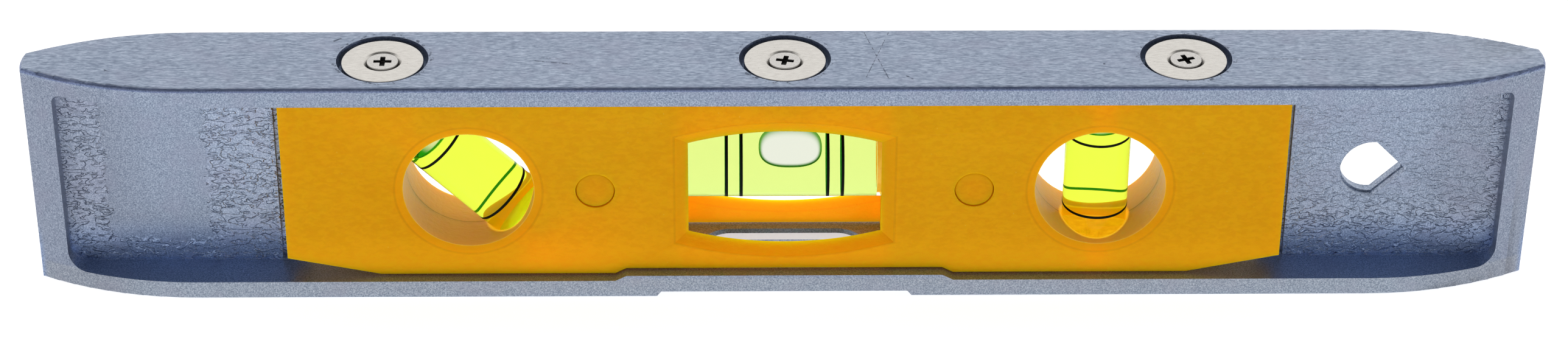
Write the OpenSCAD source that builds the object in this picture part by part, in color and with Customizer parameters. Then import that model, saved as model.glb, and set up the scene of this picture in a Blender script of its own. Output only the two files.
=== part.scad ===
// Torpedo spirit level: a die-cast frame with three magnets in one measuring
// face, and a two-part plastic carrier that holds a level vial, a plumb vial
// and a 45 degree vial. It stands on its plain rail, magnets up.
// Millimetres, +Z up, +X along the frame. The origin is the middle of the
// footprint. The front faces -Y.

/* [Frame] */
// Overall length
frame_length = 230; // [218:1:300]
// Thickness of the rails, front to back
frame_thickness = 17.5; // [16.8:0.1:22]
// Overall height
frame_height = 37.3; // [36:0.1:46]
// Length over which each end narrows to its tip
taper_length = 25; // [18:0.5:32]
// Width across the flanks at each tip
tip_width = 4.6; // [3.2:0.1:6]
// Radius of the slightly rounded tip at each end
tip_radius = 9; // [6:0.1:12]
// Rounding along the edges of the measuring face
edge_round = 0.7; // [0.3:0.1:1.4]
// Rounding along the lower edges of the plain rail
low_edge_round = 0.2; // [0.1:0.05:1]
// Thickness of the rail under the magnets
top_rail = 3.2; // [3:0.1:4.5]
// Thickness of the plain rail
bottom_rail = 2.9; // [2.4:0.1:4]
// Width of the end walls, measured along the frame
end_wall = 5; // [4:0.1:8]
// Thickness of the web in the end panels
web_thickness = 3; // [2.2:0.1:4]
// Radius of the lower corners of the end panels
panel_corner = 3; // [1:0.1:5]
// Radius of the upper corners of the end panels
panel_top_corner = 1.5; // [0.5:0.1:4]
// Depth of the step that runs across the plain rail
step_depth = 0.9; // [0.4:0.1:1.4]
// Length of the step on the outside of the plain rail
step_length = 38.6; // [32:0.2:60]
// Width of the reading slot in the plain rail
slot_width = 9; // [6:0.1:10]
// Length of the reading slot
slot_length = 25.4; // [14:0.2:30]
// Thickness that is left round the reading slot, where its underside is relieved
slot_lip = 1.7; // [1.2:0.1:2.2]

/* [Hanging hole] */
// Distance of the hole's centre from the frame's end
hang_from_end = 24.8; // [18:0.1:28]
// Diameter of the hole's round half
hang_d = 9.3; // [7:0.1:10.4]
// How far the point of the V would stand out of the hole's circle, which blunts it
hang_point = 0.35; // [0:0.05:1]
// Step between the two casting cores, halfway through the web
hang_step = 0.3; // [0.1:0.05:0.6]

/* [Magnets and screws] */
// Diameter of a magnet
magnet_d = 12.4; // [9:0.1:13]
// Thickness of a magnet
magnet_thickness = 2; // [1.6:0.05:2.1]
// Distance between neighbouring magnets
magnet_spacing = 60.6; // [59:0.1:66]
// How far the magnets lie below the measuring face
magnet_recess = 0.3; // [0.1:0.05:0.4]
// Diameter of the countersink in a magnet
countersink_d = 5.9; // [5.4:0.1:7]
// Diameter of a screw's head
screw_head_d = 4.7; // [4.2:0.1:5.2]
// Diameter of a screw's thread
screw_d = 2.9; // [2:0.1:3.2]
// Length of a screw
screw_length = 6.2; // [5:0.1:7]
// Diameter of the boss that a screw bites into
boss_d = 8; // [6:0.1:8.4]

/* [Vial carrier] */
// Length of the carrier
carrier_length = 152.2; // [126.8:0.2:158]
// Thickness of the carrier, front to back
carrier_thickness = 14; // [13.6:0.1:15.4]
// Thickness of the carrier's walls
carrier_wall = 1.1; // [0.8:0.1:1.4]
// Height of the sight holes' centre line above the feet
sight_height = 18.1; // [17.6:0.1:18.8]
// Distance between the two round sight holes
hole_spacing = 96; // [90:0.2:98]
// Diameter of a round sight hole
hole_d = 19.9; // [16:0.1:20.4]
// Width of the shallow ring round a sight hole
ring_width = 1.3; // [0.5:0.1:1.8]
// Width of the middle window
window_width = 29.2; // [26:0.2:29.6]
// Height of the window at its middle
window_height = 19.6; // [16:0.1:20]
// Height of the window at its sides
window_side = 15.6; // [12:0.1:15.8]
// Width of the sloping border round the window
window_border = 2.2; // [1:0.1:2.6]
// Distance between the two joining pins
pin_spacing = 57.6; // [54:0.2:60]
// Diameter of a joining pin
pin_d = 5.9; // [4:0.1:6.4]

/* [Vials] */
// Diameter of the level vial
level_vial_d = 11; // [9:0.1:13.2]
// Length of the level vial between its stubs
level_vial_length = 30.2; // [29.8:0.1:31.4]
// Height of the level vial's axis above the feet
level_vial_height = 19.2; // [18.4:0.1:20]
// Diameter of the plumb vial and of the 45 degree vial
cross_vial_d = 10; // [9.4:0.1:12]
// Length of the plumb vial and of the 45 degree vial
cross_vial_length = 25; // [22:0.1:26]
// Wall thickness of a vial tube
vial_wall = 1; // [0.7:0.05:1.4]
// Thickness of the closed end of the plumb vial and of the 45 degree vial, and of their plugs
vial_end = 2; // [1.4:0.1:2.6]
// Thickness of the level vial's closed end
level_vial_end = 0.6; // [0.5:0.05:1.5]
// Length of the plug in the level vial's other end
level_plug_length = 1; // [0.8:0.05:2]
// Width of a printed line
line_width = 0.45; // [0.3:0.05:0.7]
// Distance between the inner pair of lines on the level vial
level_lines = 13.2; // [11:0.1:16]
// Distance from an inner line to the outer line beside it
level_line_pitch = 2.25; // [1.4:0.05:3]
// Distance between the two lines on the other vials
cross_lines = 12.8; // [10:0.1:15]
// Length of the level vial's bubble
level_bubble_length = 9.5; // [6:0.1:11]
// Depth of the level vial's bubble
level_bubble_depth = 2.5; // [1.6:0.1:3]
// Diameter of the bubble in the other vials
cross_bubble_d = 6.6; // [5:0.1:7]
// Height of the bubble in the other vials
cross_bubble_height = 3.4; // [3:0.1:4.4]

/* [Hidden] */
$fn = 96;

// Overshoot of a cut past the face that it opens
over = 1;
// Slip fit between pieces that are pushed together
slip = 0.05;
// Gap between the carrier and the two rails
rail_gap = 0.3;
// Gap between a liquid and the walls that hold it
film = 0.02;
// Gap between a bubble and the walls round it
bubble_gap = 0.1;
// Gap between a bubble and the liquid beside its path
channel_gap = 0.15;

// Frame
half_l = frame_length / 2;
half_t = frame_thickness / 2;
taper_start = half_l - taper_length;
taper_drop = (frame_thickness - tip_width) / 2;
flank_radius = (pow(taper_length, 2) + pow(taper_drop, 2)) / (2 * taper_drop);
tip_cut = half_l - 0.8 * tip_radius;
panel_x = half_l - end_wall;
panel_top = frame_height - top_rail;
step_run = 0.7;
floor_lap = 5.8;
inner_step = step_length / 2 + floor_lap;
inner_run = 1.7;
raised_floor = bottom_rail + step_depth;
slot_chamfer = 0.5;
slot_relief = 1.2;

// Ledge of the web that the carrier's halves close on, and the rib beside it
ledge_thickness = 1.2;
ledge_play = 1.4;
ledge_reach = 3.5;
ledge_x = carrier_length / 2 + ledge_play;
open_x = ledge_x - ledge_reach;
rib_width = 0.65;
rib_rise = 0.3;

// Magnets and screws
pocket_play = 0.75;
hole_play = 0.25;
boss_floor = 1.2;
magnet_top = frame_height - magnet_recess;
pocket_floor = magnet_top - magnet_thickness;
pocket_d = magnet_d + 2 * pocket_play;
screw_hole_d = screw_d + 2 * hole_play;
head_rim = (countersink_d - screw_head_d) / 2 - 2 * slip;
head_top = magnet_top - slip;
screw_tip = head_top - screw_length;
boss_bottom = screw_tip - boss_floor;
thread_depth = 0.22;
thread_pitch = 0.5;
recess_length = 2.7;
recess_width = 0.75;
recess_depth = 0.9;
screw_turns = [0, -11, 18];

// Carrier
half_c = carrier_length / 2;
face_y = max(carrier_thickness / 2, level_vial_d / 2 + slip + carrier_wall);
carrier_low = bottom_rail + rail_gap;
carrier_top = panel_top - rail_gap;
corner_cut_x = 14.2;
corner_cut_z = 2.9;
ring_depth = 0.3;
lining = 1.2;
pin_sink = 0.15;
partition_x = level_vial_length / 2 + slip;
window_sagitta = (window_height - window_side) / 2;
window_arc = (pow(window_width / 2, 2) + pow(window_sagitta, 2)) / (2 * window_sagitta);

// Vials, each drawn along Z and then moved to its place
level_r = level_vial_d / 2;
level_bore = level_r - vial_wall;
level_closed = level_vial_length / 2 - level_vial_end;
level_open = level_vial_length / 2 - level_plug_length;
cross_r = cross_vial_d / 2;
cross_bore = cross_r - vial_wall;
cross_inner = cross_vial_length / 2 - vial_end;
stub_r = 2;
stub_length = 1.1;
line_depth = 0.1;
line_gap = 0.01;
level_heights = [for (s = [-1, 1], d = [0, 1]) s * (level_lines / 2 + d * level_line_pitch)];
cross_heights = [-cross_lines / 2, cross_lines / 2];
level_bubble_r = (pow(level_bubble_length / 2, 2) + pow(level_bubble_depth, 2))
               / (2 * level_bubble_depth);
level_bubble_rise = level_bore - bubble_gap - level_bubble_depth + level_bubble_r;
level_bubble_rest = 0.9;
level_bubble_low = level_bubble_length / 2 + bubble_gap - level_closed;
level_bubble_high = level_open - bubble_gap - level_bubble_length / 2;
cross_bubble_rest = cross_inner - bubble_gap - cross_bubble_height / 2;
cross_bubble_round = 1.4;

module slab(depth) {
    // Stands a flat outline up in X and Z, as thick as depth on each side of Y = 0
    rotate([90, 0, 0]) linear_extrude(height = 2 * depth, center = true) children();
}

module bar_y(r, reach) {
    // Round bar from Y = 0 towards the front
    rotate([90, 0, 0]) cylinder(r = r, h = reach);
}

// ---------------------------------------------------------------- frame

module rounded_section(width) {
    // Upright cross-section of the frame with its four edges rounded
    high = edge_round;
    low = low_edge_round;
    translate([-width / 2 + high, low]) square([width - 2 * high, frame_height - low]);
    translate([-width / 2 + low, 0]) square([width - 2 * low, frame_height - high]);
    translate([-width / 2, low]) square([width, frame_height - high - low]);
    for (x = [-1, 1]) {
        translate([x * (width / 2 - high), frame_height - high]) circle(r = high);
        translate([x * (width / 2 - low), low]) circle(r = low);
    }
}

module turned_section(radius) {
    // The same section turned round an upright axis
    rotate_extrude($fn = 360) intersection() {
        rounded_section(2 * radius);
        square([radius + over, frame_height]);
    }
}

module flank_place(side) {
    // Centre of the disc whose edge is the front (1) or the rear (-1) flank
    translate([taper_start, side * (flank_radius - half_t), 0]) children();
}

module taper_end() {
    // Two wide discs give the flanks, and a small one rounds the tip
    difference() {
        intersection() {
            flank_place(1) turned_section(flank_radius);
            flank_place(-1) turned_section(flank_radius);
            translate([taper_start, -frame_thickness, -over])
                cube([2 * taper_length, 2 * frame_thickness, frame_height + 2 * over]);
        }
        difference() {
            translate([tip_cut, -half_t, -over])
                cube([taper_length, frame_thickness, frame_height + 2 * over]);
            translate([half_l - tip_radius, 0, 0]) turned_section(tip_radius);
        }
    }
}

module frame_blank() {
    // The whole outside of the casting, before any opening is cut
    rotate([90, 0, 90]) linear_extrude(height = 2 * taper_start, center = true)
        rounded_section(frame_thickness);
    taper_end();
    mirror([1, 0, 0]) taper_end();
}

module raised_step() {
    // Raised part of the floor, with sloping ends
    low = inner_step + inner_run / 2;
    high = inner_step - inner_run / 2;
    polygon([[-low, bottom_rail], [-high, raised_floor], [high, raised_floor],
             [low, bottom_rail], [low, bottom_rail - over], [-low, bottom_rail - over]]);
}

module panel_outline() {
    // Space between the rails and the end walls, less the raised floor
    difference() {
        union() {
            low = bottom_rail + panel_corner;
            high = panel_top - panel_top_corner;
            translate([-panel_x, low]) square([2 * panel_x, high - low]);
            translate([-panel_x + panel_corner, bottom_rail])
                square([2 * (panel_x - panel_corner), high - bottom_rail]);
            translate([-panel_x + panel_top_corner, low])
                square([2 * (panel_x - panel_top_corner), panel_top - low]);
            for (x = [-1, 1]) {
                translate([x * (panel_x - panel_corner), low]) circle(r = panel_corner);
                translate([x * (panel_x - panel_top_corner), high])
                    circle(r = panel_top_corner);
            }
        }
        raised_step();
    }
}

module middle_outline(reach) {
    // The same space, no further than reach from the middle
    intersection() {
        panel_outline();
        translate([-reach, 0]) square([2 * reach, frame_height]);
    }
}

module panel_cuts() {
    // Recesses down to the web, deeper ones down to its ledge, and the opening in the middle
    for (side = [-1, 1]) {
        translate([0, side * (web_thickness / 2 + half_t), 0]) slab(half_t) panel_outline();
        translate([0, side * (ledge_thickness / 2 + half_t), 0])
            slab(half_t) middle_outline(ledge_x);
    }
    slab(half_t) middle_outline(open_x);
}

module locating_ribs() {
    // Smooth narrow ribs on the web, one beside each end of the carrier
    for (x = [-ledge_x - rib_width, ledge_x])
        translate([x, -web_thickness / 2 - rib_rise, bottom_rail])
            cube([rib_width, web_thickness + 2 * rib_rise, panel_top - bottom_rail]);
}

module outer_step() {
    // Shallow step across the underside, in the middle of the plain rail
    reach = step_length / 2;
    slope = step_run / 2;
    slab(frame_thickness)
        polygon([[-reach - slope, 0], [-reach + slope, step_depth], [reach - slope, step_depth],
                 [reach + slope, 0], [reach + slope, -over], [-reach - slope, -over]]);
}

module reading_slot() {
    // Slot with round ends, a sloping upper edge and a wider relief on the underside
    r = slot_width / 2;
    low = r - slot_chamfer;
    high = r + slot_chamfer;
    reach = slot_length / 2 - r;
    relief_top = raised_floor - slot_lip;
    for (x = [-reach, reach]) {
        translate([x, 0, -over]) cylinder(r = low, h = raised_floor + over);
        translate([x, 0, -over]) cylinder(r = low + slot_relief, h = relief_top + over);
        translate([x, 0, raised_floor - slot_chamfer])
            cylinder(r1 = low, r2 = high, h = 2 * slot_chamfer);
    }
    rotate([90, 0, 90]) linear_extrude(height = 2 * reach, center = true)
        polygon([[-low - slot_relief, -over], [low + slot_relief, -over],
                 [low + slot_relief, relief_top], [low, relief_top],
                 [low, raised_floor - slot_chamfer], [high, raised_floor + slot_chamfer],
                 [-high, raised_floor + slot_chamfer], [-low, raised_floor - slot_chamfer],
                 [-low, relief_top], [-low - slot_relief, relief_top]]);
}

module hang_outline(grow) {
    // Circle cut by two straight sides, which form a blunt V towards the frame's end
    r = hang_d / 2 + grow;
    side = (r + hang_point) / sqrt(2);
    intersection() {
        circle(r = r);
        rotate(45) translate([-2 * r, -side]) square(2 * r + side);
    }
}

module hanging_hole() {
    // The casting's front core is a little larger than its rear core
    translate([half_l - hang_from_end, 0, sight_height]) {
        slab(half_t) hang_outline(0);
        translate([0, -half_t, 0]) slab(half_t) hang_outline(hang_step);
    }
}

module magnet_places() {
    for (i = [-1, 0, 1]) translate([i * magnet_spacing, 0, 0]) children();
}

module frame_casting() {
    color("lightslategray") difference() {
        union() {
            difference() {
                frame_blank();
                panel_cuts();
            }
            locating_ribs();
            magnet_places() translate([0, 0, boss_bottom])
                cylinder(d = boss_d, h = pocket_floor - boss_bottom);
        }
        outer_step();
        reading_slot();
        hanging_hole();
        magnet_places() {
            translate([0, 0, pocket_floor]) cylinder(d = pocket_d, h = frame_height);
            translate([0, 0, screw_tip - slip])
                cylinder(d = screw_d + 2 * slip, h = frame_height);
        }
    }
}

// ---------------------------------------------------------------- magnets

module magnet() {
    // Disc with a countersunk hole
    sink = countersink_d / 2;
    color("gainsboro") difference() {
        translate([0, 0, pocket_floor]) cylinder(d = magnet_d, h = magnet_thickness);
        translate([0, 0, pocket_floor - over])
            cylinder(d = screw_hole_d, h = magnet_thickness + 2 * over);
        translate([0, 0, magnet_top - sink]) cylinder(r1 = 0, r2 = sink + over, h = sink + over);
    }
}

module left_magnet() {
    translate([-magnet_spacing, 0, 0]) magnet();
}

module middle_magnet() {
    magnet();
}

module right_magnet() {
    translate([magnet_spacing, 0, 0]) magnet();
}

module screw_profile() {
    // Half outline of a screw: flat head, 45 degree cone, ridged shank and blunt tip
    root = screw_d / 2 - thread_depth;
    under_head = head_top - head_rim - (screw_head_d - screw_d) / 2;
    ridges = floor((under_head - screw_tip - thread_depth) / thread_pitch);
    first = under_head - ridges * thread_pitch;
    polygon(concat(
        [[0, screw_tip], [root, screw_tip], [root, first]],
        [for (i = [0 : ridges - 1], p = [[screw_d / 2, 0.5], [root, 1]])
            if (i < ridges - 1 || p[1] < 1) [p[0], first + (i + p[1]) * thread_pitch]],
        [[screw_d / 2, under_head], [screw_head_d / 2, head_top - head_rim],
         [screw_head_d / 2, head_top], [0, head_top]]));
}

module screw(turn) {
    // Countersunk screw with a cross recess
    difference() {
        rotate_extrude() screw_profile();
        for (a = [turn, turn + 90]) rotate([0, 0, a])
            translate([-recess_length / 2, -recess_width / 2, head_top - recess_depth])
                cube([recess_length, recess_width, recess_depth + over]);
    }
}

module magnet_screws() {
    color("silver") for (i = [0 : 2])
        translate([(i - 1) * magnet_spacing, 0, 0]) screw(screw_turns[i]);
}

// ---------------------------------------------------------------- carrier

module carrier_outline(inset) {
    // Outside of the carrier, with its two corner cuts and its stepped lower edge
    reach = half_c - inset;
    low = carrier_low + inset;
    raised = low + step_depth;
    flat = half_c - corner_cut_x;
    out = inner_step + inner_run / 2;
    in = inner_step - inner_run / 2;
    polygon([[-reach, carrier_top - inset], [-reach, low + corner_cut_z], [-flat, low],
             [-out, low], [-in, raised], [in, raised], [out, low], [flat, low],
             [reach, low + corner_cut_z], [reach, carrier_top - inset]]);
}

module hole_places() {
    for (x = [-1, 1]) translate([x * hole_spacing / 2, 0, sight_height]) children();
}

module pin_places() {
    for (x = [-1, 1]) translate([x * pin_spacing / 2, 0, sight_height]) children();
}

module plumb_vial_place() {
    translate([hole_spacing / 2, 0, sight_height]) children();
}

module angle_vial_place() {
    translate([-hole_spacing / 2, 0, sight_height]) rotate([0, -45, 0]) children();
}

module level_vial_place() {
    translate([0, 0, level_vial_height]) rotate([0, 90, 0]) children();
}

module window_outline(grow) {
    // Upright sides, with the top and the bottom bowed outwards
    bow = window_arc + grow;
    offset_z = window_height / 2 - window_arc;
    intersection() {
        square([window_width + 2 * grow, window_height + 2 * grow], center = true);
        translate([0, offset_z]) circle(r = bow, $fn = 360);
        translate([0, -offset_z]) circle(r = bow, $fn = 360);
    }
}

module window_opening() {
    // Opening in the front wall that narrows from the face to the back of the wall
    thin = 0.02;
    translate([0, 0, sight_height]) hull() {
        translate([0, -face_y - thin, 0]) slab(thin) window_outline(window_border);
        translate([0, -face_y + carrier_wall + thin, 0]) slab(thin) window_outline(0);
    }
}

module carrier_walls() {
    // Shell of the front half, with everything that stands inside it
    difference() {
        slab(face_y) carrier_outline(0);
        slab(face_y - carrier_wall) carrier_outline(carrier_wall);
    }
    hole_places() bar_y(hole_d / 2 + lining, face_y);
    pin_places() bar_y(pin_d / 2 + lining, face_y);
    intersection() {
        slab(face_y) carrier_outline(0);
        union() {
            plumb_vial_place() vial_sleeve();
            angle_vial_place() vial_sleeve();
            for (x = [-partition_x - lining, partition_x])
                translate([x, -face_y, 0]) cube([lining, face_y, frame_height]);
        }
    }
}

module vial_sleeve() {
    // Round sleeve with closed ends that holds the plumb vial or the 45 degree vial
    cylinder(r = cross_r + lining, h = cross_vial_length + 2 * lining, center = true);
}

module carrier_half() {
    // The front half, which ends at Y = 0
    difference() {
        intersection() {
            carrier_walls();
            translate([-half_l, -frame_thickness, 0])
                cube([frame_length, frame_thickness, frame_height]);
        }
        for (x = [-half_c - over, open_x - slip])
            translate([x, -ledge_thickness / 2 - slip, 0])
                cube([half_c + over - open_x + slip, frame_thickness, frame_height]);
        magnet_places() translate([0, 0, boss_bottom - rail_gap])
            cylinder(d = boss_d + 2 * rail_gap, h = frame_height);
        hole_places() {
            bar_y(hole_d / 2, face_y + over);
            translate([0, -face_y + ring_depth, 0]) rotate([90, 0, 0])
                cylinder(r1 = hole_d / 2, r2 = hole_d / 2 + 2 * ring_width, h = 2 * ring_depth);
        }
        pin_places() bar_y(pin_d / 2 + slip, face_y + over);
        plumb_vial_place() vial_space();
        angle_vial_place() vial_space();
        level_vial_place()
            cylinder(r = stub_r + slip, h = level_vial_length + 4 * lining, center = true);
        window_opening();
        translate([-partition_x, -face_y + carrier_wall, 0])
            cube([2 * partition_x, face_y, raised_floor + rail_gap + 2 * carrier_wall]);
    }
}

module vial_space() {
    // Room for the plumb vial or the 45 degree vial
    cylinder(r = cross_r + slip, h = cross_vial_length + 2 * slip, center = true);
}

module front_carrier_half() {
    color("orange") carrier_half();
}

module rear_carrier_half() {
    color("orange") mirror([0, 1, 0]) carrier_half();
}

module carrier_joining_pins() {
    // Plain pins that join the halves, just below the face at each end
    color("goldenrod") pin_places() slab(face_y - pin_sink) circle(d = pin_d);
}

// ---------------------------------------------------------------- vials

module ring(r, depth, width) {
    // Thin band whose outside has radius r
    difference() {
        cylinder(r = r, h = width, center = true);
        cylinder(r = r - depth, h = width + over, center = true);
    }
}

module line_places(heights) {
    for (z = heights) translate([0, 0, z]) children();
}

module vial_tube(r, length, inner, heights) {
    // Clear tube with one closed end and a groove for each line
    difference() {
        cylinder(r = r, h = length, center = true);
        translate([0, 0, -length / 2 - over])
            cylinder(r = r - vial_wall, h = length / 2 + over + inner);
        line_places(heights) ring(r + over, over + line_depth + line_gap,
                                  line_width + 2 * line_gap);
    }
}

module vial_plug(bore, length, inner) {
    translate([0, 0, -length / 2]) cylinder(r = bore - slip, h = length / 2 - inner);
}

module level_vial_tube() {
    color("honeydew") level_vial_place() rotate([180, 0, 0]) {
        vial_tube(level_r, level_vial_length, level_closed, level_heights);
        translate([0, 0, level_vial_length / 2]) cylinder(r = stub_r, h = stub_length);
    }
}

module level_vial_plug() {
    color("khaki") level_vial_place() rotate([180, 0, 0]) {
        vial_plug(level_bore, level_vial_length, level_open);
        translate([0, 0, -level_vial_length / 2 - stub_length])
            cylinder(r = stub_r, h = stub_length + level_plug_length / 2);
    }
}

module level_bubble_shape(gap) {
    // Ball that reaches down from above the vial
    translate([-level_bubble_rise, 0, 0]) sphere(r = level_bubble_r + gap);
}

module level_vial_liquid() {
    // Fills the tube, except for the channel that the bubble moves along
    color("greenyellow") level_vial_place() difference() {
        translate([0, 0, film - level_closed])
            cylinder(r = level_bore - film, h = level_closed + level_open - 2 * film);
        for (z = [level_bubble_low, level_bubble_high])
            translate([0, 0, z]) level_bubble_shape(channel_gap);
        translate([-level_bubble_rise, 0, level_bubble_low])
            cylinder(r = level_bubble_r + channel_gap, h = level_bubble_high - level_bubble_low);
    }
}

module level_vial_bubble() {
    color("white") level_vial_place() translate([0, 0, level_bubble_rest]) intersection() {
        level_bubble_shape(0);
        cylinder(r = level_bore - bubble_gap, h = level_vial_length, center = true);
    }
}

module level_vial_lines() {
    color("black") level_vial_place()
        line_places(level_heights) ring(level_r, line_depth, line_width);
}

module cross_tube() {
    color("honeydew") vial_tube(cross_r, cross_vial_length, cross_inner, cross_heights);
}

module cross_plug() {
    color("khaki") vial_plug(cross_bore, cross_vial_length, cross_inner);
}

module cross_liquid() {
    // Sleeve of liquid round the bubble's path
    color("greenyellow") difference() {
        cylinder(r = cross_bore - film, h = 2 * (cross_inner - film), center = true);
        cylinder(r = cross_bubble_d / 2 + channel_gap, h = cross_vial_length, center = true);
    }
}

module cross_bubble() {
    // Thick round cushion of air at the upper end of the vial
    r = cross_bubble_d / 2;
    half = cross_bubble_height / 2;
    flat = half - cross_bubble_round;
    color("white") translate([0, 0, cross_bubble_rest]) rotate_extrude() {
        translate([0, -half]) square([r - cross_bubble_round, 2 * half]);
        translate([0, -flat]) square([r, 2 * flat]);
        for (z = [-flat, flat]) translate([r - cross_bubble_round, z]) intersection() {
            circle(r = cross_bubble_round);
            translate([0, -half]) square(2 * half);
        }
    }
}

module cross_line_pair() {
    color("black") line_places(cross_heights) ring(cross_r, line_depth, line_width);
}

module plumb_vial_tube() { plumb_vial_place() cross_tube(); }
module plumb_vial_plug() { plumb_vial_place() cross_plug(); }
module plumb_vial_liquid() { plumb_vial_place() cross_liquid(); }
module plumb_vial_bubble() { plumb_vial_place() cross_bubble(); }
module plumb_vial_lines() { plumb_vial_place() cross_line_pair(); }
module angle_vial_tube() { angle_vial_place() cross_tube(); }
module angle_vial_plug() { angle_vial_place() cross_plug(); }
module angle_vial_liquid() { angle_vial_place() cross_liquid(); }
module angle_vial_bubble() { angle_vial_place() cross_bubble(); }
module angle_vial_lines() { angle_vial_place() cross_line_pair(); }

frame_casting();
front_carrier_half();
rear_carrier_half();
carrier_joining_pins();
left_magnet();
middle_magnet();
right_magnet();
magnet_screws();
level_vial_tube();
level_vial_plug();
level_vial_liquid();
level_vial_bubble();
level_vial_lines();
plumb_vial_tube();
plumb_vial_plug();
plumb_vial_liquid();
plumb_vial_bubble();
plumb_vial_lines();
angle_vial_tube();
angle_vial_plug();
angle_vial_liquid();
angle_vial_bubble();
angle_vial_lines();
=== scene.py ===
"""Looks of the spirit level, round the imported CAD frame: camera, pieces, materials, floor and light."""

import math

import bmesh
import bpy
from mathutils import Matrix, Vector


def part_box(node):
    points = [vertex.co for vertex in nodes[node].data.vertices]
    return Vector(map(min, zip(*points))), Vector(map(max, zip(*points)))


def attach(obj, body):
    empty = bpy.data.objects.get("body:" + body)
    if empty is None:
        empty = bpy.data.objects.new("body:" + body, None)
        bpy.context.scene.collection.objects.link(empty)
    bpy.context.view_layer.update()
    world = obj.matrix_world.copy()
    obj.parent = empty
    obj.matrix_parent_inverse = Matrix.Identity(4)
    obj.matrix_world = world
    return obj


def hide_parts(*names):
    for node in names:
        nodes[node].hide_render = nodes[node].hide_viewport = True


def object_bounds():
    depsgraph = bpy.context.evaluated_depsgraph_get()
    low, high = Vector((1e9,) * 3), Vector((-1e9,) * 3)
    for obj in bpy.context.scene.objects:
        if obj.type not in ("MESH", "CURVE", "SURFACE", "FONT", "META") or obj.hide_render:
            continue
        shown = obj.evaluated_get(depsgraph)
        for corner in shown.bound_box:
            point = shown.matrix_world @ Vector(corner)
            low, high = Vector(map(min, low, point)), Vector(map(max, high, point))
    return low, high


MM = 0.001
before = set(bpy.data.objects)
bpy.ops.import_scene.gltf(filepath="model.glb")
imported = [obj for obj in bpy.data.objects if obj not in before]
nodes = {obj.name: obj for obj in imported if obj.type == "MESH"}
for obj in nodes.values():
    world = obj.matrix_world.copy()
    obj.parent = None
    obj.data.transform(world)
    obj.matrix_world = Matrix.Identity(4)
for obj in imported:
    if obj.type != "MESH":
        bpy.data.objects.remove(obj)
cad_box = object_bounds()
scene = bpy.context.scene
scene.view_settings.view_transform = "Standard"


# ---------------------------------------------------------------- camera


def make_camera():
    """The photograph's viewpoint, in millimetres in the level's own frame."""
    pitch, yaw, roll = 0.5608, 0.0197, 0.0073
    place = Vector((-9.673, -490.35, 324.0)) * MM
    forward = Vector(
        (math.sin(yaw) * math.cos(pitch), math.cos(yaw) * math.cos(pitch), -math.sin(pitch))
    )
    right = Vector((math.cos(yaw), -math.sin(yaw), 0))
    up = right.cross(forward)
    side = right * math.cos(roll) + up * math.sin(roll)
    top = up * math.cos(roll) - right * math.sin(roll)
    data = bpy.data.cameras.new("camera")
    data.sensor_fit = "HORIZONTAL"
    data.sensor_width = 36
    data.lens = 86.49
    data.clip_start = 0.01
    data.clip_end = 20
    camera = bpy.data.objects.new("camera", data)
    scene.collection.objects.link(camera)
    turn = Matrix((side, top, -forward)).transposed().to_4x4()
    camera.matrix_world = Matrix.Translation(place) @ turn
    scene.camera = camera


make_camera()


# ---------------------------------------------------------------- node helpers


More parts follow.
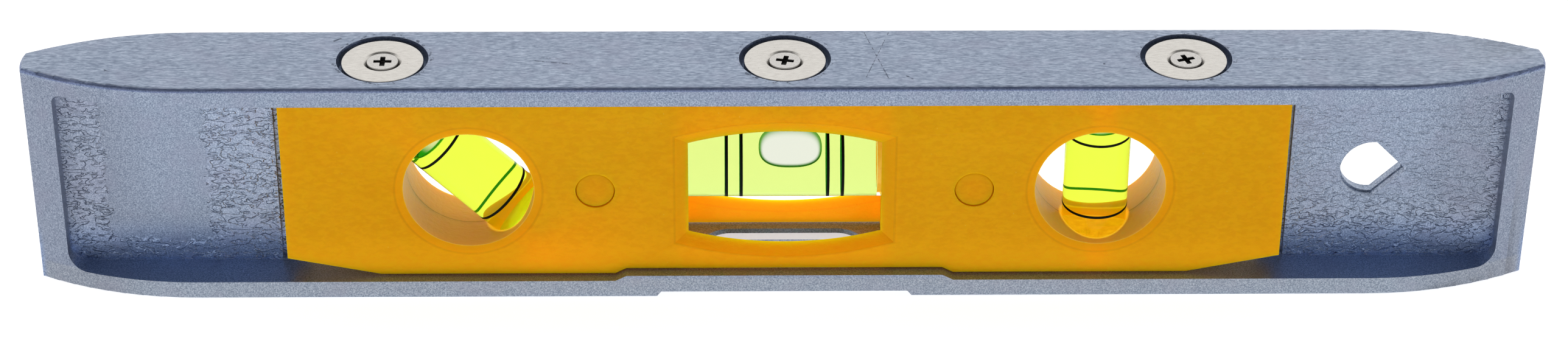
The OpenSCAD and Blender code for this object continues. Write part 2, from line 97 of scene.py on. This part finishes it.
class Nodes:
    """Short names for the shader nodes that the materials below are made of."""

    def __init__(self, name):
        self.material = bpy.data.materials.new(name)
        self.material.use_nodes = True
        self.tree = self.material.node_tree
        self.tree.nodes.clear()
        self.output = self.tree.nodes.new("ShaderNodeOutputMaterial")
        self.place = self.tree.nodes.new("ShaderNodeTexCoord").outputs["Object"]

    def node(self, kind, inputs=(), **settings):
        made = self.tree.nodes.new("ShaderNode" + kind)
        for key, value in settings.items():
            setattr(made, key, value)
        for key, value in dict(inputs).items():
            if isinstance(value, bpy.types.NodeSocket):
                self.tree.links.new(value, made.inputs[key])
            else:
                made.inputs[key].default_value = value
        return made

    def math(self, how, a, b=0.0, clamp=False):
        return self.node("Math", {0: a, 1: b}, operation=how, use_clamp=clamp).outputs[0]

    def product(self, first, *others):
        for other in others:
            first = self.math("MULTIPLY", first, other)
        return first

    def away(self, value, centre=None):
        """Distance of a value from a centre, or from 0."""
        return self.math("ABSOLUTE", value if centre is None else self.math("SUBTRACT", value, centre))

    def reach(self, a, b):
        """Length of the two legs a and b put together at a right angle."""
        return self.math("SQRT", self.math("ADD", self.product(a, a), self.product(b, b)))

    def vector(self, how, a, b=(0, 0, 0)):
        return self.node("VectorMath", {0: a, 1: b}, operation=how)

    def axis(self, which):
        return self.node("SeparateXYZ", {0: self.place}).outputs[which]

    def stretched(self, x, y, z):
        return self.vector("MULTIPLY", self.place, (x, y, z)).outputs[0]

    def noise(self, size, detail=3.0, rough=0.55, twist=0.0, place=None):
        """Noise whose features are about size millimetres wide."""
        return self.node(
            "TexNoise",
            {
                "Vector": place or self.place,
                "Scale": 1 / (size * MM),
                "Detail": detail,
                "Roughness": rough,
                "Distortion": twist,
            },
        ).outputs["Fac"]

    def cells(self, size):
        """Distance from the nearest of the points strewn about size millimetres apart."""
        inputs = {"Vector": self.place, "Scale": 1 / (size * MM)}
        return self.node("TexVoronoi", inputs).outputs["Distance"]

    def ramp(self, value, low, high, first=0.0, last=1.0):
        """first below low, last above high, and smoothly from one to the other between them."""
        inputs = {0: value, 1: low, 2: high, 3: first, 4: last}
        return self.node("MapRange", inputs, interpolation_type="SMOOTHSTEP").outputs[0]

    def colours(self, value, *stops):
        made = self.node("ValToRGB", {0: value})
        ramp = made.color_ramp
        while len(ramp.elements) < len(stops):
            ramp.elements.new(0.5)
        for element, (at, colour) in zip(ramp.elements, stops):
            element.position = at
            element.color = (*colour, 1)
        return made.outputs[0]

    def mix(self, share, a, b, how="MIX"):
        made = self.tree.nodes.new("ShaderNodeMix")
        made.data_type = "RGBA"
        made.blend_type = how
        for key, value in ((0, share), (6, a), (7, b)):
            if isinstance(value, bpy.types.NodeSocket):
                self.tree.links.new(value, made.inputs[key])
            elif key == 0:
                made.inputs[key].default_value = value
            else:
                made.inputs[key].default_value = (*value, 1)
        return made.outputs[2]

    def tinted(self, share, base, tint):
        """The base colour, times the tint where share is 1."""
        return self.mix(share, base, self.mix(1.0, base, tint, "MULTIPLY"))

    def bump(self, height, depth, strength=1.0, under=None):
        """Relief of the given depth in millimetres."""
        inputs = {"Height": height, "Distance": depth * MM, "Strength": strength}
        if under:
            inputs["Normal"] = under
        return self.node("Bump", inputs).outputs[0]

    def principled(self, **inputs):
        shader = self.node("BsdfPrincipled", {k.replace("_", " "): v for k, v in inputs.items()})
        return self.finish(shader)

    def finish(self, shader):
        self.tree.links.new(shader.outputs[0], self.output.inputs["Surface"])
        return self.material

    def near_line(self, start, end, width):
        """1 on a thin straight mark between two points in millimetres, 0 beside it."""
        a, b = Vector(start) * MM, Vector(end) * MM
        run = b - a
        offset = self.vector("SUBTRACT", self.place, tuple(a)).outputs[0]
        along = self.vector("DOT_PRODUCT", offset, tuple(run / run.length_squared)).outputs["Value"]
        along = self.math("MULTIPLY", along, 1.0, clamp=True)
        point = self.node("VectorMath", {0: tuple(run), "Scale": along}, operation="SCALE")
        gap = self.vector("DISTANCE", offset, point.outputs[0]).outputs["Value"]
        return self.ramp(gap, 0.5 * width * MM, width * MM, 1.0, 0.0)


# ---------------------------------------------------------------- materials


# Places on the level, in metres
FACE_Z = 0.0373  # the measuring face
MAGNET_X = 0.0606  # the outer magnets, either side of the middle one
POCKET_R = 0.0071
WEB_SIDE = (0.0024, 0.0030)  # just outside the web's faces
SLOT = (0.0138, 0.0050, 0.0042)  # half the reading slot's length, half its width, and its height
SIGHT_X = 0.048  # the round sight holes, either side
SIGHT_R = 0.0100
BORDER_R = 0.01125  # outer edge of their sloping borders
MIDDLE_Z = 0.0181  # height of the sight holes and of the window
WINDOW = (0.0168, 0.0120)  # half the length and half the height of the window's border
WINDOW_BOW = 8.86  # its top and bottom draw together by this times x squared
SOFT = 0.0002  # half the width of a soft edge

POCKETS = [(-MAGNET_X, 0, FACE_Z), (0, 0, FACE_Z), (MAGNET_X, 0, FACE_Z)]
# Marks on the measuring face, in millimetres: x and y of both ends, and the width
SCRATCHES = [
    ((-37.6, -0.6), (-31.6, -1.7), 0.13),
    ((-36.9, 0.4), (-34.0, 0.0), 0.09),
    ((12.2, 7.6), (15.4, -6.0), 0.10),
    ((15.9, 7.6), (12.0, -6.0), 0.08),
    ((18.2, -5.4), (19.0, -6.3), 0.22),
    ((70.0, -0.4), (84.6, -1.0), 0.09),
    ((-68.4, 5.4), (-67.4, 6.2), 0.25),
    ((-101.2, -3.6), (-101.9, -3.0), 0.22),
]


def cast_metal(n, z, top):
    """Grain and colour of the bare casting, with milled streaks on the measuring face."""
    cast = n.noise(0.22, 2.0, 0.6)
    milled = n.noise(0.24, 3.0, 0.6, 0.0, n.stretched(0.22, 1.0, 1.0))
    grain = n.math("ADD", n.product(milled, top), n.product(cast, n.math("SUBTRACT", 1.0, top)))
    blotch = n.noise(5.0, 3.0, 0.5)
    base = n.colours(
        grain, (0.25, (0.125, 0.163, 0.243)), (0.5, (0.272, 0.330, 0.440)), (0.75, (0.46, 0.53, 0.66))
    )
    base = n.mix(n.ramp(blotch, 0.45, 0.7, 0.0, 0.35), base, (0.290, 0.315, 0.430))
    return grain, base


def painted_light_and_shade(n, base, x, y, z):
    """Painted light and shade on the casting: a bluer painted shade low in the recesses, slot walls made
    paler as painted light, a darker painted reflection along the rounded edges, darker tips, and a
    lighter painted light on the foot.
    """
    out = n.away(y)
    facing = n.node("SeparateXYZ", {0: n.node("TexCoord").outputs["Normal"]}).outputs
    web = n.ramp(out, *WEB_SIDE, 1.0, 0.0)
    # painted shade: a bluer tint low down in the recesses and on the web
    low = n.math("MAXIMUM", web, n.ramp(facing[2], 0.5, 0.8))
    low = n.product(n.ramp(z, 0.004, 0.011, 1.0, 0.0), low)
    base = n.tinted(low, base, (0.93, 1.06, 1.28))
    # painted light: the walls of the reading slot made paler, as if lit from the floor below
    within = [n.ramp(v, edge - SOFT, edge + SOFT, 1.0, 0.0) for v, edge in zip((n.away(x), out, z), SLOT)]
    upright = n.ramp(n.away(facing[2]), 0.5, 0.7, 1.0, 0.0)
    base = n.mix(n.product(upright, *within), base, (0.66, 0.69, 0.76))
    # painted reflection: a darker band along the rounded edge of the measuring face
    edge = n.product(n.ramp(z, 0.03655, 0.03675), n.ramp(z, 0.03712, 0.03724, 1.0, 0.0))
    base = n.tinted(edge, base, (0.62, 0.66, 0.84))
    tips = n.product(n.ramp(n.away(x), 0.094, 0.106), n.ramp(z, 0.0360, 0.0368, 1.0, 0.0))
    base = n.tinted(tips, base, (0.88, 0.85, 0.84))
    # painted light: the low front faces of the foot made lighter
    painted_light_foot = n.product(n.ramp(z, 0.0030, 0.0036, 1.0, 0.0), n.math("SUBTRACT", 1.0, web))
    painted_light_foot = n.product(painted_light_foot, n.ramp(n.away(facing[1]), 0.3, 0.6))
    return n.tinted(painted_light_foot, base, (1.12, 1.08, 1.0))


def worn_marks(n, top):
    """1 on the handling marks, pits and rough pocket edges of the measuring face."""
    marks = None
    for start, end, width in SCRATCHES:
        ends = [(*point, FACE_Z / MM) for point in (start, end)]
        mark = n.near_line(*ends, width)
        marks = mark if marks is None else n.math("MAXIMUM", marks, mark)
    marks = n.product(marks, n.ramp(n.noise(0.5, 2.0), 0.42, 0.56))
    pits = n.product(n.ramp(n.cells(4.2), 0.030, 0.050, 1.0, 0.0), n.ramp(n.noise(7.0), 0.50, 0.58))
    for centre in POCKETS:
        gap = n.vector("DISTANCE", n.place, centre).outputs["Value"]
        inner = n.ramp(gap, POCKET_R - SOFT, POCKET_R)
        outer = n.ramp(gap, POCKET_R + SOFT, POCKET_R + 0.0009, 1.0, 0.0)
        rough_edge = n.product(inner, outer, n.ramp(n.noise(0.9, 4.0, 0.7), 0.55, 0.62))
        marks = n.math("MAXIMUM", marks, rough_edge)
    return n.product(n.math("MAXIMUM", n.product(marks, 0.8), pits), top)


def wrinkle_bands(n, x, y, z):
    """1 in the ragged bands of casting wrinkles on the web, which differ left and right."""
    inside = n.product(n.ramp(n.away(y), 0.0020, 0.0026, 1.0, 0.0), n.ramp(z, 0.0341, 0.0345, 1.0, 0.0))
    ragged = n.product(n.math("SUBTRACT", n.noise(1.6, 2.0), 0.5), 0.004)
    across = n.math("ADD", x, ragged)
    up = n.math("ADD", z, ragged)
    left = n.math("MAXIMUM", n.ramp(across, -0.1040, -0.1034, 1.0, 0.0), n.ramp(across, -0.0884, -0.0878))
    left = n.math("MAXIMUM", left, n.ramp(up, 0.0058, 0.0066, 1.0, 0.0))
    right = n.math("MAXIMUM", n.ramp(across, 0.1078, 0.1084), n.ramp(up, 0.0085, 0.0150, 1.0, 0.35))
    right = n.math("MAXIMUM", right, n.ramp(up, 0.0300, 0.0320, 0.0, 0.6))
    left = n.product(left, n.ramp(x, -0.001, 0.001, 1.0, 0.0))
    right = n.product(right, n.ramp(x, -0.001, 0.001))
    return n.product(n.math("ADD", left, right), inside)


def frame_paint():
    n = Nodes("frame_paint")
    x, y, z = (n.axis(i) for i in range(3))
    top = n.ramp(z, 0.0368, 0.0372)
    grain, base = cast_metal(n, z, top)
    base = painted_light_and_shade(n, base, x, y, z)
    dark = worn_marks(n, top)
    base = n.mix(dark, base, (0.035, 0.05, 0.09))
    share = wrinkle_bands(n, x, y, z)
    wrinkle = n.noise(1.15, 2.0, 0.5, 0.8, n.stretched(0.62, 1.0, 1.3))
    height = n.product(n.ramp(wrinkle, 0.46, 0.55), share)
    # painted light and shade: lighter over the wrinkle bands to make up for the shade of their bumps, and
    # darker in the creases as painted shade
    base = n.tinted(share, base, (1.20, 1.20, 1.20))
    painted_crease_shade = n.product(n.ramp(n.away(wrinkle, 0.47), 0.0, 0.016, 1.0, 0.0), share)
    base = n.tinted(n.product(painted_crease_shade, 0.55), base, (0.45, 0.47, 0.55))
    normal = n.bump(height, 0.15)
    normal = n.bump(grain, 0.02, 0.8, normal)
    normal = n.bump(dark, -0.05, 1.0, normal)
    rough = n.ramp(n.noise(0.4), 0.3, 0.7, 0.34, 0.46)
    return n.principled(
        Base_Color=base, Metallic=0.85, Roughness=rough, Normal=normal, Specular_IOR_Level=0.4
    )


def painted_carrier_glow(n, x, y, z):
    """Painted glow, emitted as if light came through the thin walls round the sleeved vials and in the
    window, and painted light low down on the carrier.
    """
    lean = n.math("SUBTRACT", n.math("ADD", n.math("ADD", x, SIGHT_X), z), MIDDLE_Z)
    lean = n.product(lean, math.sqrt(0.5))
    gap = n.math("MINIMUM", n.away(x, SIGHT_X), n.away(lean))
    sleeve = n.ramp(n.reach(gap, y), 0.0052, 0.0056, 1.0, 0.0)
    room = n.product(
        n.ramp(n.away(x), 0.0150, 0.0154, 1.0, 0.0),
        n.ramp(y, 0.0045, 0.0050),
        n.ramp(z, 0.0120, 0.0130, 1.0, 0.0),
        n.ramp(y, 0.00675, 0.0069, 1.0, 0.0),
    )
    glow = n.math("MAXIMUM", sleeve, n.product(room, 0.7))
    return n.math("MAXIMUM", glow, n.ramp(z, 0.0034, 0.0125, 0.22, 0.0))


def orange_plastic(name, tint):
    n = Nodes(name)
    x, y, z = (n.axis(i) for i in range(3))
    streaks = n.noise(0.75, 3.0, 0.6, 0.5, n.stretched(0.55, 1.0, 1.1))
    fine = n.noise(0.16, 2.0, 0.6)
    specks = n.ramp(n.cells(2.6), 0.03, 0.05, 1.0, 0.0)
    blotch = n.noise(14.0, 2.0, 0.5)
    base = n.colours(blotch, (0.3, (0.93, 0.395, 0.001)), (0.7, (0.96, 0.420, 0.002)))
    base = n.mix(n.ramp(streaks, 0.35, 0.65, 0.30, 0.0), base, (0.78, 0.285, 0.0))
    base = n.mix(n.product(specks, 0.35), base, (0.97, 0.62, 0.10))
    base = n.mix(1.0, base, tint, "MULTIPLY")
    # sloping borders of the window and of the round holes: painted shade, a deeper tone over the slope
    # inside a thin darker outline
    height = n.away(z, MIDDLE_Z)
    side = n.math("SUBTRACT", n.away(x), WINDOW[0])
    bow = n.product(x, x, WINDOW_BOW)
    window = n.math("MAXIMUM", side, n.math("ADD", n.math("SUBTRACT", height, WINDOW[1]), bow))
    reach = n.reach(n.math("SUBTRACT", n.away(x), SIGHT_X), height)
    edge = n.math("MINIMUM", window, n.math("SUBTRACT", reach, BORDER_R))
    wall = n.ramp(n.away(y), 0.0056, 0.0059)
    within = n.product(n.ramp(edge, -SOFT, 0.0, 1.0, 0.0), wall)
    outline = n.product(n.ramp(n.away(edge), 0.00006, 0.00028, 1.0, 0.0), wall)
    base = n.mix(n.product(within, 0.6), base, (0.98, 0.375, 0.0))
    base = n.mix(n.product(outline, 0.30), base, (0.60, 0.22, 0.0))
    # bores of the round holes: paler, a painted reflection of the bright surroundings, with the parting
    # line of the two halves
    bore = n.ramp(reach, SIGHT_R - 0.00002, SIGHT_R + 0.00003, 1.0, 0.0)
    base = n.mix(n.product(bore, 0.55), base, (0.98, 0.56, 0.15))
    parting = n.product(bore, n.ramp(n.away(y), 0.00004, 0.00012, 1.0, 0.0))
    base = n.mix(n.product(parting, 0.7), base, (0.60, 0.25, 0.0))
    # painted glow: the plastic emits orange light in the window, round the sleeves and low down
    painted_wall_glow = n.mix(painted_carrier_glow(n, x, y, z), (0.0, 0.0, 0.0), (0.62, 0.30, 0.004))
    normal = n.bump(streaks, 0.14, 0.7)
    normal = n.bump(fine, 0.012, 0.6, normal)
    rough = n.ramp(streaks, 0.3, 0.7, 0.30, 0.42)
    return n.principled(
        Base_Color=base,
        Roughness=rough,
        Normal=normal,
        Subsurface_Weight=0.8,
        Subsurface_Radius=(1.0, 0.4, 0.06),
        Subsurface_Scale=0.0035,
        Specular_IOR_Level=0.05,
        Emission_Color=painted_wall_glow,
        Emission_Strength=0.8,
    )


def nickel():
    n = Nodes("nickel_plate")
    turned = n.node("Mapping", {0: n.place, 2: (0, 0, -0.6), 3: (0.2, 1, 1)}).outputs[0]
    brushed = n.noise(0.22, 3.0, 0.6, 0.0, turned)
    base = n.colours(brushed, (0.3, (0.50, 0.485, 0.465)), (0.7, (0.66, 0.645, 0.62)))
    spots = n.product(n.ramp(n.cells(1.6), 0.05, 0.09, 1.0, 0.0), 0.4)
    base = n.mix(spots, base, (0.26, 0.25, 0.24))
    normal = n.bump(brushed, 0.006, 0.7)
    rough = n.ramp(brushed, 0.3, 0.7, 0.22, 0.34)
    return n.principled(Base_Color=base, Metallic=1.0, Roughness=rough, Normal=normal)


def zinc():
    n = Nodes("zinc_plate")
    z = n.axis(2)
    grain = n.noise(0.25, 3.0, 0.6)
    base = n.colours(grain, (0.3, (0.46, 0.45, 0.44)), (0.7, (0.62, 0.61, 0.60)))
    # painted shade: the screws nearly black below the top of their heads, in the countersinks
    base = n.mix(n.ramp(z, 0.03665, 0.03690, 0.85, 0.0), base, (0.05, 0.05, 0.055))
    normal = n.bump(grain, 0.01, 0.7)
    return n.principled(
        Base_Color=base, Metallic=1.0, Roughness=n.ramp(grain, 0.3, 0.7, 0.24, 0.36), Normal=normal
    )


def clear_acrylic():
    n = Nodes("clear_acrylic")
    shader = n.node("BsdfGlass", {"Color": (0.995, 1.0, 0.985, 1), "Roughness": 0.0, "IOR": 1.12})
    return n.finish(shader)


def spirit(name, colour):
    """The face between the acrylic tube and the coloured spirit in it."""
    n = Nodes(name)
    shader = n.node("BsdfGlass", {"Color": (*colour, 1), "Roughness": 0.0, "IOR": 1.03})
    return n.finish(shader)


def air(name, start, stop, rim):
    """The face between the spirit and a bubble: a painted pale glow where it is met head on, standing in
    for light reflected inside the bubble, and green glass at its rim.
    """
    n = Nodes(name)
    facing = n.node("LayerWeight", {"Blend": 0.5}).outputs["Facing"]
    clear = n.node("BsdfGlass", {"Color": (*rim, 1), "Roughness": 0.0, "IOR": 0.9})
    # painted glow: pale light emitted by the bubble's face
    painted_pale_glow = n.node("Emission", {"Color": (0.68, 0.63, 1.0, 1), "Strength": 1.55})
    both = n.node("MixShader", {0: n.ramp(facing, start, stop), 1: painted_pale_glow.outputs[0], 2: clear.outputs[0]})
    return n.finish(both)


def line_ink(name, low, high, glow=0.0):
    """Ink of the printed rings. The back of a ring is given a painted glow, standing in for the light
    that comes through the spirit.
    """
    n = Nodes(name)
    grain = n.noise(0.1, 2.0)
    base = n.colours(grain, (0.3, low), (0.7, high))
    return n.principled(
        Base_Color=base,
        Roughness=0.6,
        Specular_IOR_Level=0.05,
        Normal=n.bump(grain, 0.004, 0.5),
        Emission_Color=base,
        Emission_Strength=glow,
    )


def plug_acrylic():
    n = Nodes("plug_acrylic")
    haze = n.noise(0.8, 2.0)
    base = n.colours(haze, (0.3, (0.84, 0.46, 0.03)), (0.7, (0.92, 0.56, 0.05)))
    return n.principled(
        # painted glow: the plug emits its own orange colour
        Base_Color=base,
        Roughness=0.25,
        Normal=n.bump(haze, 0.02, 0.5),
        Emission_Color=base,
        Emission_Strength=0.45,
    )


def floor_white():
    n = Nodes("floor_white")
    grain = n.noise(3.0, 2.0)
    base = n.colours(grain, (0.3, (0.48, 0.48, 0.48)), (0.7, (0.50, 0.50, 0.50)))
    return n.principled(
        Base_Color=base, Roughness=0.6, Emission_Color=(1, 1, 1, 1), Emission_Strength=0.86
    )


# ---------------------------------------------------------------- geometry helpers


def add(name, bm, material, body, smooth=math.radians(32)):
    """Makes a piece of the object from a bmesh, and sets what it moves with."""
    mesh = bpy.data.meshes.new(name)
    bm.to_mesh(mesh)
    bm.free()
    obj = bpy.data.objects.new(name, mesh)
    scene.collection.objects.link(obj)
    mesh.materials.clear()
    mesh.materials.append(material)
    for face in mesh.polygons:
        face.use_smooth = True
    if smooth:
        mesh.set_sharp_from_angle(angle=smooth)
    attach(obj, body)
    return obj


def rounded_copy(name, node, width, material, segments=3):
    """The CAD node's own shape with its sharp edges broken, standing for the node."""
    bm = bmesh.new()
    bm.from_mesh(nodes[node].data)
    bmesh.ops.remove_doubles(bm, verts=bm.verts, dist=2e-6)
    bmesh.ops.dissolve_limit(bm, angle_limit=math.radians(0.6), verts=bm.verts, edges=bm.edges)
    obj = add(name, bm, material, "level")
    bevel = obj.modifiers.new("edges", "BEVEL")
    bevel.width = width * MM
    bevel.segments = segments
    bevel.limit_method = "ANGLE"
    bevel.angle_limit = math.radians(30)
    bevel.use_clamp_overlap = True
    bevel.harden_normals = True
    bevel.miter_outer = "MITER_ARC"
    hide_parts(node)
    return obj


def lathe(profile, turns=96):
    """Turns a closed outline of (radius, height) in millimetres round Z."""
    bm = bmesh.new()
    rings = []
    for radius, height in profile:
        if radius < 1e-6:
            rings.append([bm.verts.new((0, 0, height * MM))])
            continue
        angles = [2 * math.pi * i / turns for i in range(turns)]
        points = [
            (radius * MM * math.cos(angle), radius * MM * math.sin(angle), height * MM)
            for angle in angles
        ]
        rings.append([bm.verts.new(point) for point in points])
    for low, high in zip(rings, rings[1:]):
        for i in range(turns):
            j = (i + 1) % turns
            corners = [low[i % len(low)], low[j % len(low)], high[j % len(high)], high[i % len(high)]]
            corners = list(dict.fromkeys(corners))
            if len(corners) > 2:
                bm.faces.new(corners)
    if len(rings[0]) > 1 and len(rings[-1]) > 1:
        for i in range(turns):
            j = (i + 1) % turns
            bm.faces.new([rings[-1][i], rings[-1][j], rings[0][j], rings[0][i]])
    bmesh.ops.recalc_face_normals(bm, faces=bm.faces)
    return bm


def rounded_end(radius, height, corner, steps=5, up=True):
    """Points of a corner of that radius between a side at radius and an end at height."""
    sign = 1 if up else -1
    points = []
    for k in range(steps + 1):
        a = 0.5 * math.pi * k / steps
        across = radius - corner + corner * math.cos(a)
        points.append((across, height - sign * corner + sign * corner * math.sin(a)))
    return points if up else points[::-1]


# ---------------------------------------------------------------- frame, carrier, magnets

rounded_copy("frame_body", "frame_casting", 0.35, frame_paint())
shell = orange_plastic("orange_plastic", (1, 1, 1))
rounded_copy("carrier_front", "front_carrier_half", 0.3, shell)
rounded_copy("carrier_rear", "rear_carrier_half", 0.3, shell)
pins = orange_plastic("pin_plastic", (0.93, 0.93, 0.8))
rounded_copy("joining_pins", "carrier_joining_pins", 0.3, pins)
plate = nickel()
for side in ("left", "middle", "right"):
    rounded_copy(f"magnet_{side}", f"{side}_magnet", 0.15, plate)
rounded_copy("screws", "magnet_screws", 0.06, zinc(), segments=2)


# ---------------------------------------------------------------- vials


def placed(centre, direction):
    """Turns a piece drawn along Z so that it lies along direction at centre."""
    turn = Vector((0, 0, 1)).rotation_difference(Vector(direction)).to_matrix().to_4x4()
    return Matrix.Translation(centre) @ turn


def middle(node):
    low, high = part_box(node)
    return (Vector(low) + Vector(high)) / 2


def size(node):
    low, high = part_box(node)
    return (Vector(high) - Vector(low)) / MM


# Sizes of the vials, in millimetres
LEVEL_ENDS = (0.6, 1.0)  # closed end and plug of the level vial
CROSS_END = 2.0  # closed end and plug of the plumb vial and of the 45 degree vial
LEVEL_WALL = 0.45  # what is drawn of a tube's wall outside the spirit that it magnifies
CROSS_WALL = 0.3
LEVEL_LINES = (-8.85, -6.6, 6.6, 8.85)  # places of the printed rings along the vial
CROSS_LINES = (-6.4, 6.4)
LINE_HALF = 0.225  # half the width of a ring
LINE_SLOPE = 0.025
LINE_RISE = (0.005, 0.03)  # how far a ring's edges and its outside stand off the tube
FILM = 0.06  # spirit between a bubble and its bore

acrylic = clear_acrylic()
ink = line_ink("line_ink", (0.002, 0.003, 0.002), (0.006, 0.010, 0.006))
# the back of the rings: green ink with a painted glow
back_ink_with_painted_glow = line_ink("line_ink_back_painted_glow", (0.010, 0.16, 0.02), (0.03, 0.26, 0.05), 0.9)
plug_material = plug_acrylic()
long_air = air("air_long_bubble", 0.27, 0.64, (0.17, 0.44, 0.07))
end_air = air("air_end_bubble", 0.0, 0.3, (0.12, 0.55, 0.14))


def vial(kind, centre, direction, radius, length, wall, ends, lines, bubble, spirit_material):
    """Tube, spirit, printed lines and bubble of one vial. ends are its solid ends, far one first.

    The spirit is drawn almost as wide as the tube, as a real tube's wall magnifies it.
    """
    place = placed(centre, direction)
    half = length / 2
    low, high = ends[0] - half, half - ends[1]
    bore = radius - wall
    outside = rounded_end(radius, -half, 0.3, up=False) + rounded_end(radius, half, 0.3)
    tube = lathe([(0, -half), *outside, (0, half)])
    body = rounded_end(bore, low, 0.15, up=False) + rounded_end(bore, high, 0.15)
    liquid = lathe([(0, low), *body, (0, high)])
    for made, label, material, slot, node in (
        (tube, "tube", acrylic, "vial", "tube"),
        (liquid, "spirit", spirit_material, "vial_liquid", "liquid"),
    ):
        made.transform(place)
        obj = add(f"{kind}_{label}", made, material, "level")
        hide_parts(f"{kind}_vial_{node}")
    ring = bmesh.new()
    for z in lines:
        edge, face = (radius + rise for rise in LINE_RISE)
        crest = LINE_HALF - LINE_SLOPE
        outline = [(edge, z - LINE_HALF), (face, z - crest), (face, z + crest), (edge, z + LINE_HALF)]
        band = lathe(outline)
        mesh = bpy.data.meshes.new("band")
        band.to_mesh(mesh)
        band.free()
        ring.from_mesh(mesh)
        bpy.data.meshes.remove(mesh)
    ring.transform(place)
    rings = add(f"{kind}_lines", ring, ink, "level")
    rings.data.materials.append(back_ink_with_painted_glow)
    axis = Vector(direction).normalized()
    for face in rings.data.polygons:
        out = face.center - centre
        out -= out.dot(axis) * axis
        face.material_index = 1 if face.normal.dot(out) < 0 else 0
    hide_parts(f"{kind}_vial_lines")
    bubble.transform(place)
    inside = long_air if kind == "level" else end_air
    ball = add(f"{kind}_bubble", bubble, inside, f"{kind}_bubble", smooth=None)
    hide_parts(f"{kind}_vial_bubble")
    nodes[f"{kind}_vial_plug"].data.materials.clear()
    nodes[f"{kind}_vial_plug"].data.materials.append(plug_material)


def long_bubble(bore, length, depth, shift):
    """Bubble pressed up against the bore of a vial that lies level. Up is -X, and along is Z.

    It is a superellipsoid, cut back where it would leave the bore.
    """
    bm = bmesh.new()
    bmesh.ops.create_uvsphere(bm, u_segments=64, v_segments=48, radius=1.0)
    rise = 2.4
    for v in bm.verts:
        a, b, c = v.co
        grow = (abs(c) ** 2.6 + (a * a + b * b) ** 1.3) ** (-1 / 2.6)
        along = c * grow * length / 2
        across = b * grow * bore * 0.80
        up = bore - depth + rise + a * grow * rise
        reach = math.hypot(across, up)
        if reach > bore - FILM:
            across, up = across * (bore - FILM) / reach, up * (bore - FILM) / reach
        v.co = Vector((-up, across, along + shift)) * MM
    bmesh.ops.recalc_face_normals(bm, faces=bm.faces)
    return bm


def end_bubble(bore, height, top):
    """Bubble that fills the upper end of a standing vial, with a curved lower face."""
    low = top - height
    dome = 1.2
    under = [
        ((bore - FILM) * math.sin(a), low + dome * (1 - math.cos(a)))
        for a in [0.5 * math.pi * k / 10 for k in range(11)]
    ]
    upper = rounded_end(bore - FILM, top, 0.5)
    return lathe([*under, *upper, (0, top)])


level_size = size("level_vial_lines")
level_r = level_size.z / 2
level_mid = Vector((0, 0, middle("level_vial_lines").z))
level_low, level_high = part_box("level_vial_liquid")
closed_end, plug_end = LEVEL_ENDS
slips = 0.04  # gaps at both ends of the liquid
level_length = (level_high[0] - level_low[0]) / MM + closed_end + plug_end + slips
bubble_low, bubble_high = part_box("level_vial_bubble")
bubble_length = (bubble_high[0] - bubble_low[0]) / MM
shift = 0.5 * (bubble_high[0] + bubble_low[0]) / MM
yellow_green = spirit("yellow_green", (0.80, 0.89, 0.485))
deep_green = spirit("deep_yellow_green", (0.84, 0.92, 0.25))
vial(
    "level",
    level_mid,
    (1, 0, 0),
    level_r,
    level_length,
    LEVEL_WALL,
    (0.5 * closed_end, plug_end),
    LEVEL_LINES,
    long_bubble(level_r - 0.9, bubble_length + 0.14, 4.9, shift),
    yellow_green,
)
cross_r = size("plumb_vial_lines").x / 2
cross_length = size("plumb_vial_tube").z
cross_inner = cross_length / 2 - CROSS_END
for kind, centre, direction in (
    ("plumb", middle("plumb_vial_lines"), (0, 0, 1)),
    ("angle", middle("angle_vial_lines"), (-math.sqrt(0.5), 0, math.sqrt(0.5))),
):
    vial(
        kind,
        centre,
        direction,
        cross_r,
        cross_length,
        CROSS_WALL,
        (CROSS_END, CROSS_END),
        CROSS_LINES,
        end_bubble(cross_r - 1.0, 3.55, cross_inner - 0.03),
        deep_green,
    )


# ---------------------------------------------------------------- floor and light


def floor():
    bm = bmesh.new()
    reach = 3.0
    bmesh.ops.create_grid(bm, x_segments=8, y_segments=8, size=reach)
    mesh = bpy.data.meshes.new("floor")
    bm.to_mesh(mesh)
    bm.free()
    mesh.materials.append(floor_white())
    obj = bpy.data.objects.new("floor", mesh)
    scene.collection.objects.link(obj)
    gap = 0.0002
    obj.location.z = cad_box[0][2] - gap


def softbox(name, place, power):
    """A square lamp that faces the level."""
    data = bpy.data.lights.new(name, "AREA")
    data.shape = "RECTANGLE"
    data.size = 0.9
    data.size_y = 0.9
    data.energy = power
    obj = bpy.data.objects.new(name, data)
    scene.collection.objects.link(obj)
    obj.location = place
    obj.rotation_euler = (Vector((0, 0, 0.02)) - Vector(place)).to_track_quat("-Z", "Y").to_euler()


def studio():
    """Light tent: bright behind, softer low down at the front, and dim high up at the front."""
    world = bpy.data.worlds.new("studio")
    scene.world = world
    world.use_nodes = True
    tree = world.node_tree
    direction = tree.nodes.new("ShaderNodeTexCoord").outputs["Generated"]
    split = tree.nodes.new("ShaderNodeSeparateXYZ")
    tree.links.new(direction, split.inputs[0])

    def between(source, low, high, first, last):
        ramp = tree.nodes.new("ShaderNodeMapRange")
        ramp.interpolation_type = "SMOOTHSTEP"
        for key, value in enumerate((low, high, first, last), 1):
            if isinstance(value, float):
                ramp.inputs[key].default_value = value
            else:
                tree.links.new(value, ramp.inputs[key])
        tree.links.new(source, ramp.inputs[0])
        return ramp.outputs[0]

    level = between(split.outputs[1], -0.35, 0.45, 0.66, 1.16)
    overhead = between(split.outputs[1], -0.35, 0.45, 0.15, 1.16)
    strength = between(split.outputs[2], 0.30, 0.62, level, overhead)
    background = tree.nodes["Background"]
    background.inputs[0].default_value = (1.0, 0.985, 0.96, 1)
    tree.links.new(strength, background.inputs[1])


floor()
softbox("left", (-1.5, -0.9, 0.5), 1.2)
softbox("right", (1.5, -0.9, 0.5), 1.0)
studio()
